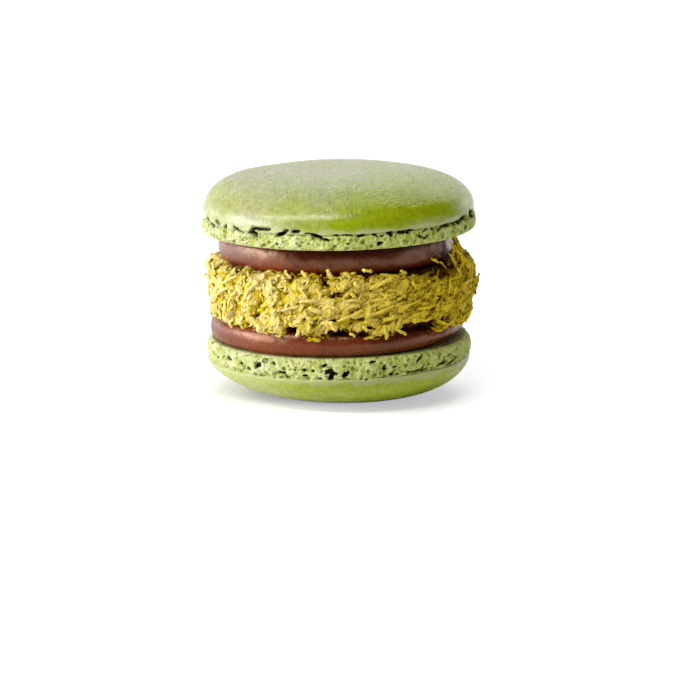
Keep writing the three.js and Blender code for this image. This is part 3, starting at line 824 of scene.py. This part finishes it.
# Each kind: name, seed, count, range of length, range of width, flatness, range of how far it stands out,
# stray angle, rings, sides, how much paler, and how much sparser where the pile is matted.
STICK_KINDS = (
    ("pastry_shreds", 31, 3000, (0.8, 2.9), (0.3, 0.75), 0.8, (-0.4, 0.3), 0.4, 5, 6, 0, 0.6),
    ("pastry_crumbs", 33, 6000, (0.35, 1.1), (0.35, 0.95), 0.85, (-0.45, 0.25), 0.9, 3, 5, 0, 0.2),
    ("pastry_flakes", 32, 700, (1.3, 3.4), (0.9, 1.9), 0.35, (-0.05, 0.25), 0.5, 5, 6, 0.06, 0.3),
)


def unit(vectors):
    """Vectors made one long."""
    return vectors / np.linalg.norm(vectors, axis=-1, keepdims=True)


def stick_mesh(name, sticks, flatness, rings, sides, random):
    """Many short sticks as one mesh. A stick is rings of a few sides about a path, with a point at each end.

    The path is middle + direction * length * u + outward * bend * (1 - 4u^2), for u from -1/2 to 1/2, and
    outward is made square to direction. Each has a tone and a share of stain. Its outward side is painted
    lighter, and its underside darker by a further share of painted shade."""
    middle, direction, outward, length, width, bend, tone, stain_and_shade, shade_under = sticks.values()
    outward = unit(outward - direction * np.sum(outward * direction, axis=1)[:, None])
    count = len(length)
    u = np.linspace(-0.5, 0.5, rings)
    path = middle[:, None] + (direction * length[:, None])[:, None] * u[:, None]
    path = path + (outward * bend[:, None])[:, None] * (1 - 4 * u**2)[:, None]
    path = path + random.normal(0, STICK_WAVER, path.shape)
    across = np.cross(direction, outward)
    turn = 2 * math.pi * np.arange(sides) / sides
    end = np.where(np.abs(u) > 0.45, TAPER, 1.0)[:, None, None]
    swell = random.uniform(0.6, 1.3, (count, rings, sides, 1))
    swell = swell * random.uniform(0.75, 1.25, (count, rings, 1, 1)) * end
    section = (across[:, None] * np.cos(turn)[:, None] * (width / 2)[:, None, None]
               + outward[:, None] * np.sin(turn)[:, None] * (flatness * width / 2)[:, None, None])
    skin = path[:, :, None] + section[:, None] * swell
    tip = direction * (TIP_LENGTH * width)[:, None]
    tips = np.stack([path[:, 0] - tip, path[:, -1] + tip], axis=1)
    points = np.concatenate([skin.reshape(count, -1, 3), tips], axis=1)

    each = points.shape[1]
    shift = each * np.arange(count)[:, None, None]
    quads, caps = ring_faces(rings, sides)
    faces = (quads + shift).reshape(-1, 4).tolist() + (caps + shift).reshape(-1, 3).tolist()
    raised = np.tile(np.concatenate([np.tile(np.sin(turn), rings), [0, 0]]), count)
    tone, stain_and_shade, shade_under = (np.repeat(numbers, each) for numbers in (tone, stain_and_shade, shade_under))
    values = {
        # Painted light and shade: the side facing out is lighter, and the underside darker by a share of
        # painted shade.
        "tone": np.clip(tone + UPPER_SIDE_LIGHT * raised + random.normal(0, SPECKLE, count * each), 0.06, 1),
        "stain_and_shade": np.clip(stain_and_shade + shade_under * smooth_step(0.2, -0.8, raised), 0, 1),
    }
    made = add_mesh(name, points.reshape(-1, 3), faces, values)
    made.data.shade_flat()
    return made


def scattered_sticks(kind):
    """Sticks of one kind all over the pastry, along its strands but for a stray angle, and tipped outwards.

    They are left out where the pile is hollow, and are sparser where it is matted or stained."""
    name, seed, count, lengths, widths, flatness, stand, stray, rings, sides, paler, sparser = kind
    random = np.random.default_rng(seed)
    azimuth = random.uniform(-math.pi, math.pi, count)
    radii, heights, angle = pastry_outline(random.uniform(0.03, 0.97, count))
    outward = wheel(np.cos(angle), azimuth, np.sin(angle))
    around = wheel(1.0, azimuth + math.pi / 2, np.zeros(count))
    up = np.cross(around, -outward)
    slope = (strand_slope(azimuth) + random.normal(0, stray, count))[:, None]
    tip = random.normal(0, OUTWARD_TIP, count)[:, None]
    direction = unit(around * np.cos(slope) + up * np.sin(slope) + outward * tip)
    length = lengths[0] + (lengths[1] - lengths[0]) * random.beta(1.4, 2.6, count)
    width = random.uniform(*widths, count)
    proud = random.uniform(*stand, count) - MAT_SINK * matted(azimuth)
    pile, relief = pastry_pile(azimuth, heights)
    middle = wheel(radii, azimuth, heights) + outward * (pile + proud)[:, None]
    middle[:, 0] += PASTRY["x"]
    bend = random.normal(0, STICK_BEND, count) * length
    share = (proud - stand[0]) / (stand[1] - stand[0])
    # The dim side: there the tone is painted lighter, and more shade is painted under the sticks.
    shaded = dim_side(azimuth)
    uneven = random.normal(0, 1, count) * (0.1 + 0.13 * shaded)
    # Painted light and shade: deeper sticks, hollows of the pile and the faces get a lower tone, the dim side
    # a higher one.
    tone = 0.42 + 0.08 * matted(azimuth) + 0.62 * shaded + 0.28 * share + (0.4 + 0.1 * shaded) * relief
    tone = tone + uneven + paler - 0.45 * edge_shade(azimuth, angle)
    chocolate = chocolate_stain(azimuth, heights)
    stain_and_shade = np.clip(1.6 * chocolate - random.uniform(0, 1, count), 0, 1)
    stain_and_shade = np.maximum(stain_and_shade, 0.55 * (random.uniform(0, 1, count) < 0.03 + 0.1 * shaded))

    reach = (direction * length[:, None] / 2)[None] * np.array([-1, -0.5, 0, 0.5, 1])[:, None, None] + middle
    deepest = pastry_forms(np.arctan2(reach[..., 0], -reach[..., 1]), reach[..., 2]).min(axis=0)
    bare = np.maximum(0.15 * chocolate, sparser * matted(azimuth))
    keep = (deepest > random.uniform(-1.1, -0.6, count)) & (random.uniform(0, 1, count) > bare)
    sticks = {
        "middle": out_of_true(middle),
        "direction": direction,
        "outward": outward,
        "length": length,
        "width": width * (1 - 0.25 * shaded),
        "bend": bend,
        "tone": tone,
        "stain_and_shade": stain_and_shade,
        "shade_under": 0.2 + 0.15 * shaded,
    }
    sticks = {label: numbers[keep] for label, numbers in sticks.items()}
    return stick_mesh(name, sticks, flatness, rings, sides, random)


for kind in STICK_KINDS:
    sticks = scattered_sticks(kind)
    sticks.data.materials.append(PASTRY_MATERIAL)
    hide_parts("shredded_pastry")
    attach(sticks, "root")

# Long strands. The pale strands that lie uppermost, some hanging over the lower ganache, and at the right a
# few that reach up past the upper ganache to the shell.
STRAND_SEED = 34
STRAND_FLATNESS = 0.8
STRAND_STANDS_OUT = 0.15
STRAND_THINNING = 0.85
STRAND_BEND = 0.08
STRAND_DARKENING = 0.1
# A share of painted shade under each long strand.
STRAND_SHADE_UNDER = 0.4
# Each: azimuth and height of both ends, width, tone, and how far it stands out.
LONG_STRANDS = (
    (12, 23.3, 23, 25.5, 1, 0.95, 0.7), (18, 16.7, 19, 14.3, 0.8, 0.95, 0.6),
    (24, 15.8, 28, 14.9, 0.7, 0.85, 0.6), (19, 14.3, 20, 15.2, 0.4, 0.8, 0.6),
    (9, 26.7, 13, 26.2, 0.8, 0.85, 0), (-25, 26.4, -22, 25, 0.7, 0.85, 0.1),
    (-17, 26.4, -14, 25, 0.7, 0.75, 0.1), (-6, 26.7, -4, 25.2, 0.9, 0.85, 0.1),
    (1, 26.1, 4, 25.4, 0.6, 0.85, 0.1), (26, 26.1, 29, 25.5, 0.5, 0.8, 0.1),
    (43, 27.4, 47, 26.5, 0.6, 0.65, -0.2), (47, 26.7, 51, 25.2, 0.3, 0.6, 0.2),
    (-35, 23.6, -33, 21.2, 0.8, 0.8, 0.4), (-31, 24.1, -30, 21.4, 0.9, 0.85, 0.4),
    (-32, 20.8, -30, 19, 0.8, 0.8, 0.4), (3.5, 15.5, 6, 14.9, 0.6, 0.9, 0.3),
    (53, 23.2, 52, 20.8, 0.5, 0.85, 0.5), (31, 24.1, 33, 22.9, 0.7, 0.85, 0.5),
    (-18, 23.5, -14, 21.5, 0.7, 0.9, 0.5), (-18, 21.1, -10, 21.3, 0.7, 0.85, 0.5),
    (-14, 19.9, -8, 19.3, 0.9, 0.8, 0.5), (-2, 17.7, 9, 19.6, 0.6, 0.85, 0.6),
    (10, 18.4, 22, 20.1, 0.7, 0.75, 0.6), (23, 19.5, 35, 20.6, 0.6, 0.8, 0.6),
    (24, 21.2, 28, 21.8, 0.7, 0.9, 0.5), (4, 22.6, 6, 21.8, 0.7, 0.95, 0.5),
    (5, 24.5, 8, 23.8, 0.9, 0.95, 0.5), (-46, 20.1, -39, 23.8, 0.7, 0.85, 0.5),
    (-57, 18.3, -51, 21.3, 0.7, 0.8, 0.5), (-44, 25.4, -41, 23.7, 0.7, 0.7, 0.3),
    (-5, 17.4, -2, 16.1, 1.1, 0.95, 0.5), (18, 17.7, 25, 18.2, 0.9, 0.85, 0.5),
    (9, 16.8, 11, 15.9, 0.6, 0.85, 0.5), (32, 16.9, 42, 17.1, 0.6, 0.8, 0.4),
    (46, 16.3, 53, 15.2, 0.7, 0.7, 0.3), (54, 23.1, 63, 23.6, 0.4, 0.6, 0.5),
    (63, 21.6, 77, 21.7, 0.6, 0.7, 0.4), (67, 25.4, 73, 22.9, 0.6, 0.6, 0.4),
    (59, 24.9, 62, 23.3, 0.6, 0.6, 0.4), (-16, 19.2, -12, 17.1, 0.9, 0.9, 0.5),
    (-26, 19, -18, 20.2, 0.6, 0.85, 0.5), (-74, 25.3, -71, 23, 0.7, 0.8, 0.3),
    (-62, 22, -51, 24.2, 0.6, 0.85, 0.5), (-69, 19.3, -58, 21.5, 0.7, 0.9, 0.4),
    (34, 19.1, 44, 19.3, 0.6, 0.7, 0.5), (13, 21.2, 23, 21.8, 0.6, 0.75, 0.5),
    (1, 21.3, 9, 21.3, 0.6, 0.85, 0.5), (-6, 20.6, -1, 19.7, 0.6, 0.9, 0.5),
    (-10, 23.2, -8, 22.2, 0.7, 0.9, 0.5), (-2, 24, 1, 23.1, 0.7, 0.9, 0.5),
    (56, 29.6, 58, 27, 0.6, 0.6, -0.1), (58, 28.9, 62, 26.1, 0.6, 0.45, 0),
    (61, 27.6, 66, 25, 0.7, 0.55, 0.2), (54, 27.6, 61, 25.5, 0.3, 0.8, 0),
    (65, 26.6, 70, 24.2, 0.8, 0.5, 0.2), (56, 27.2, 60, 25, 0.6, 0.35, -0.2),
    (70, 30, 72, 27.4, 1.1, 0.5, -2.4), (73, 29, 76, 26.2, 1.2, 0.45, -2.1),
    (69, 28.2, 71, 25.6, 1.2, 0.5, -2.1), (75, 27.6, 79, 25.4, 1.1, 0.55, -1.7),
    (64, 28, 69, 25.8, 1, 0.4, -1.4), (71, 28.6, 73, 25.6, 1, 0.6, -1.8), (66, 26, 60, 24, 0.6, 0.55, 0.2),
    (70, 25.6, 75, 23.6, 0.7, 0.55, 0.1), (59, 28, 64, 26.6, 0.5, 0.4, -0.3),
)


def long_strands():
    """A stick between the two ends of each long strand, bent outwards by a share of its length."""
    start_turn, start_height, end_turn, end_height, width, tone, stand = np.array(LONG_STRANDS).T
    reach = PASTRY["radius"] + stand + STRAND_STANDS_OUT
    start = out_of_true(wheel(reach, np.radians(start_turn), start_height))
    end = out_of_true(wheel(reach, np.radians(end_turn), end_height))
    length = np.linalg.norm(end - start, axis=1)
    sticks = {
        "middle": (start + end) / 2 + np.array([PASTRY["x"], 0, 0]),
        "direction": unit(end - start),
        "outward": wheel(1.0, np.radians((start_turn + end_turn) / 2), 0 * reach),
        "length": length,
        "width": STRAND_THINNING * width,
        "bend": STRAND_BEND * length,
        "tone": tone - STRAND_DARKENING,
        "stain_and_shade": 0 * reach,
        "shade_under": 0 * reach + STRAND_SHADE_UNDER,
    }
    random = np.random.default_rng(STRAND_SEED)
    return stick_mesh("pastry_long_strands", sticks, STRAND_FLATNESS, 6, 8, random)


strands = long_strands()
strands.data.materials.append(PASTRY_MATERIAL)
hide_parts("shredded_pastry")
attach(strands, "root")

# Upper ganache. The same piped chocolate cream, a narrower and thicker disc under the upper shell. Its upper
# half is painted darker with shade, and a sheen is painted paler at the left.
UPPER_GANACHE = {"radius": 21.3, "x": -0.5, "low": 24.95, "high": 30.3, "bulge": 1.3, "seed": 5,
                 "undercut": 0.0, "undercut_at": 0, "painted_shade": 0.8, "painted_sheen": 0.35}
upper_ganache = ganache_piece("upper_ganache_disc", UPPER_GANACHE)
upper_ganache.data.materials.append(GANACHE_MATERIAL)
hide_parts("upper_ganache")
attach(upper_ganache, "root")

# Upper shell. The twin of the lower one, dome up, with a wider skirt of foot that broke away from the dome's
# lip in long cracks as it rose. The cracks are painted dark with shade.
UPPER_SHELL = {
    "crack_level": 33.05,
    "side_up": 1,
    "dome_radius": 24.65,
    "dome_height": 7.95,
    "flat_cut": 0,
    "around_power": 4,
    "up_power": 2.45,
    "foot_radius": 24.8,
    "foot_height": 2.85,
    "foot_corner": 0.55,
    "groove": 0.3,
    "crag": 0.17,
    "pore_share": 0.30,
    "flat_shade": 0.95,
    "sag": 0.22,
    "seed": 3,
}
UPPER_CRACKS = (
    (-70, 0.1, 2.1, 0.3, 1, -0.25), (-66, -0.3, 0.9, 0.4, 1.1, 0), (-61.5, 0.5, 1.2, 0.24, 1, -0.15),
    (-55, 0.2, 0.75, 0.3, 0.5, 0.5), (-47.5, 0.25, 1.1, 0.26, 1.2, -0.2), (-40.3, -0.15, 0.5, 0.2, 0.9, 0),
    (-34.5, 0.62, 1.9, 0.28, 1.5, 0.02), (-38.5, 0, 0.6, 0.6, 1.6, 0), (-37, -0.5, 0.55, 0.3, 1.5, 0),
    (-24.6, 0.08, 1.35, 0.34, 1.4, 0.43), (-17.7, 0.55, 0.65, 0.24, 1.2, 0), (-13, 0.3, 0.45, 0.18, 1, 0),
    (-8.5, -0.15, 1, 0.28, 1.4, -0.25), (-5.5, -0.7, 0.85, 0.28, 1.5, -0.2), (-1, -0.05, 0.7, 0.18, 1.1, 0),
    (3, 0, 1, 0.13, 0.9, 0), (9.5, -0.2, 0.6, 0.18, 1, 0.2), (15.5, -0.4, 0.5, 0.2, 0.9, -0.6),
    (18, -0.45, 0.45, 0.18, 1, 0), (22, -0.25, 0.68, 0.4, 1.5, 0), (27.5, -0.2, 0.95, 0.35, 1.5, 0),
    (31, -0.05, 0.95, 0.24, 1.4, 0), (30, -0.5, 0.5, 0.2, 1.1, 0), (36, -1.35, 0.65, 0.24, 1.3, -0.4),
    (38.8, -1.5, 0.5, 0.28, 1.3, 0.5), (38, -0.45, 0.65, 0.15, 1, 0.35), (42.5, -0.4, 0.55, 0.22, 1.2, 0),
    (47, -0.6, 0.85, 0.3, 1.3, 0.35), (52, -0.4, 0.95, 0.25, 1.3, 0.05), (62.5, -0.05, 2.4, 0.5, 1.6, 0.12),
    (74, 0.5, 1.8, 0.45, 1.2, 0), (78, -0.4, 1.2, 0.3, 0.8, 0), (55, -1.6, 0.28, 0.3, 1.1, 0),
    (17, -1.7, 0.48, 0.32, 1.3, 0), (66, -1.6, 0.6, 0.4, 0.4, 0), (-26, -1.7, 0.25, 0.22, 0.9, 0),
    (-43, -1.6, 0.3, 0.2, 0.6, 0), (4, -1.5, 0.3, 0.2, 0.7, 0), (110, 0, 2.2, 0.3, 1.3, 0.05),
    (132, -0.2, 1.4, 0.35, 1.3, -0.2), (160, 0.1, 2.4, 0.28, 1.4, 0), (188, -0.3, 0.9, 0.4, 1.4, 0.2),
    (212, 0, 1.8, 0.3, 1.3, 0), (240, -0.1, 2, 0.32, 1.4, 0.1), (262, 0.2, 1.2, 0.25, 1, 0),
)
UPPER_GREEN = (0.34, 0.42, 0.003, 1)
# The pale green is partly a painted sheen.
UPPER_PALE_SHEEN_GREEN = (0.42, 0.42, 0.20, 1)
upper_shell = shell_piece("upper_shell_baked", UPPER_SHELL, UPPER_CRACKS)
upper_shell.data.materials.append(shell_material("upper_almond_shell", UPPER_GREEN, UPPER_PALE_SHEEN_GREEN))
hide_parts("upper_shell")
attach(upper_shell, "root")

# Floor. A plain, pale, matt table under the macaron. To the camera it glows a little, so that it comes out
# white, but not in a soft patch at the macaron's left and back, where it is in shade. Far out, where the
# lamps don't reach, it glows more. In the macaron's gloss it glows too, from a few centimetres out.
SHADE_MIDDLE = (-0.010, 0.014, 0)
SHADE_EDGE = (0.019, 0.03)
UNLIT_FROM, UNLIT_TO = 0.28, 0.5
GLOSS_FROM, GLOSS_TO = 0.09, 0.16
FLOOR_WHITE = (0.86, 0.86, 0.85, 1)
FLOOR_GLOW = (0.45, 0.45, 0.5, 1)
SHADE_GLOW = (0.13, 0.12, 0.22, 1)


def floor_material():
    """Matt white, with a glow that differs by the kind of ray and the distance from the shade's middle."""
    material, tree, shader = new_material("pale_table")
    ray = tree.nodes.new("ShaderNodeLightPath").outputs
    ends = {0: object_place(tree), 1: SHADE_MIDDLE}
    distance = add_node(tree, "ShaderNodeVectorMath", ends, operation="DISTANCE").outputs["Value"]
    lit = stretched(tree, distance, *SHADE_EDGE, way="SMOOTHSTEP")
    far = stretched(tree, distance, GLOSS_FROM, GLOSS_TO, 0, 1.4)
    in_gloss = computed(tree, "MULTIPLY", ray["Is Glossy Ray"], far)
    to_camera = stretched(tree, distance, UNLIT_FROM, UNLIT_TO, 1, 2.6)
    set_inputs(tree, shader, {
        "Base Color": FLOOR_WHITE,
        "Roughness": 0.9,
        "Emission Color": mixed(tree, lit, SHADE_GLOW, FLOOR_GLOW),
        "Emission Strength": computed(tree, "MULTIPLY_ADD", ray["Is Camera Ray"], to_camera, in_gloss),
    })
    return material


bpy.ops.mesh.primitive_plane_add(size=6)
floor = bpy.context.object
floor.name = "floor"
floor.data.materials.append(floor_material())

# Backdrop. White paper that hangs behind the table, 2.9 m away. It shows straight and in gloss, and lights
# nothing. Its grid is a row of points on the floor and a row above it.
BACKDROP_DISTANCE = 2.9
BACKDROP_HEIGHT = 0.6
BACKDROP_WHITE = (0.86, 0.86, 0.86, 1)
azimuth = np.radians(np.arange(130, 231, 10))
points = np.stack([wheel(BACKDROP_DISTANCE, azimuth, level) for level in (0, BACKDROP_HEIGHT)]).reshape(-1, 3)
low = np.arange(len(azimuth) - 1)
high = low + len(azimuth)
backdrop = add_mesh("backdrop", points / MM, np.stack([low, low + 1, high + 1, high], axis=-1).tolist(), {})
backdrop.visible_diffuse = False
backdrop.visible_shadow = False
backdrop_material, backdrop_tree, backdrop_shader = new_material("white_backdrop")
backdrop_glow = {"Base Color": BACKDROP_WHITE, "Emission Color": (1, 1, 1, 1), "Emission Strength": 1.0}
set_inputs(backdrop_tree, backdrop_shader, backdrop_glow)
backdrop.data.materials.append(backdrop_material)

# Light. A broad window at the left, a long strip of light from the front down to the left, dim fills, and
# pale walls behind, which give the soft sheen on top of the shell. Each light is a strip half a metre away
# from end to end.
LIGHTS = (
    # name, azimuth and elevation of both ends, degrees thick, watts
    ("window", -104, 7, -58, 7, 18, 2.0),
    ("window_side", -138, 1, -106, 1, 9, 0.16),
    ("front_strip", 6, 49, -38, 42, 9, 0.9),
    ("left_strip", -38, 42, -75, 24, 9, 0.8),
    ("front_fill", -60, 18, 30, 18, 20, 0.03),
    ("right_fill", 63, 6, 93, 6, 12, 0.14),
    ("right_back", 112, 0, 148, 0, 8, 0.04),
    ("wall_left", -150, 28, -120, 28, 40, 0.07),
    ("wall_back", 142, 25, 212, 25, 34, 0.97),
    ("wall_right", 118, 12, 148, 12, 14, 0.12),
    ("ceiling_back", 125, 61, 235, 61, 26, 0.66),
    ("ceiling_right", 132, 45, 168, 45, 10, 0.2),
)
LIGHT_DISTANCE = 0.5


def towards(azimuth, elevation):
    """The direction out to an azimuth and elevation in degrees."""
    turn, tilt = math.radians(azimuth), math.radians(elevation)
    return Vector((math.sin(turn) * math.cos(tilt), -math.cos(turn) * math.cos(tilt), math.sin(tilt)))


for label, *ends, degrees_thick, watts in LIGHTS:
    first, second = towards(*ends[:2]), towards(*ends[2:])
    away = (first + second).normalized()
    along = (second - first).normalized()
    lamp = bpy.data.lights.new(label, "AREA")
    lamp.shape = "RECTANGLE"
    lamp.size = LIGHT_DISTANCE * (second - first).length / first.dot(away)
    lamp.size_y = 2 * LIGHT_DISTANCE * math.tan(math.radians(degrees_thick / 2))
    lamp.energy = watts
    holder = bpy.data.objects.new(label, lamp)
    bpy.context.scene.collection.objects.link(holder)
    holder.location = STACK_MIDDLE + LIGHT_DISTANCE * away
    holder.rotation_euler = Matrix((along, away.cross(along), away)).transposed().to_euler()

world = bpy.data.worlds.new("white_room")
world.use_nodes = True
world.node_tree.nodes["Background"].inputs["Color"].default_value = (1, 1, 1, 1)
world.node_tree.nodes["Background"].inputs["Strength"].default_value = 0.02
bpy.context.scene.world = world
bpy.context.scene.view_settings.view_transform = "Standard"
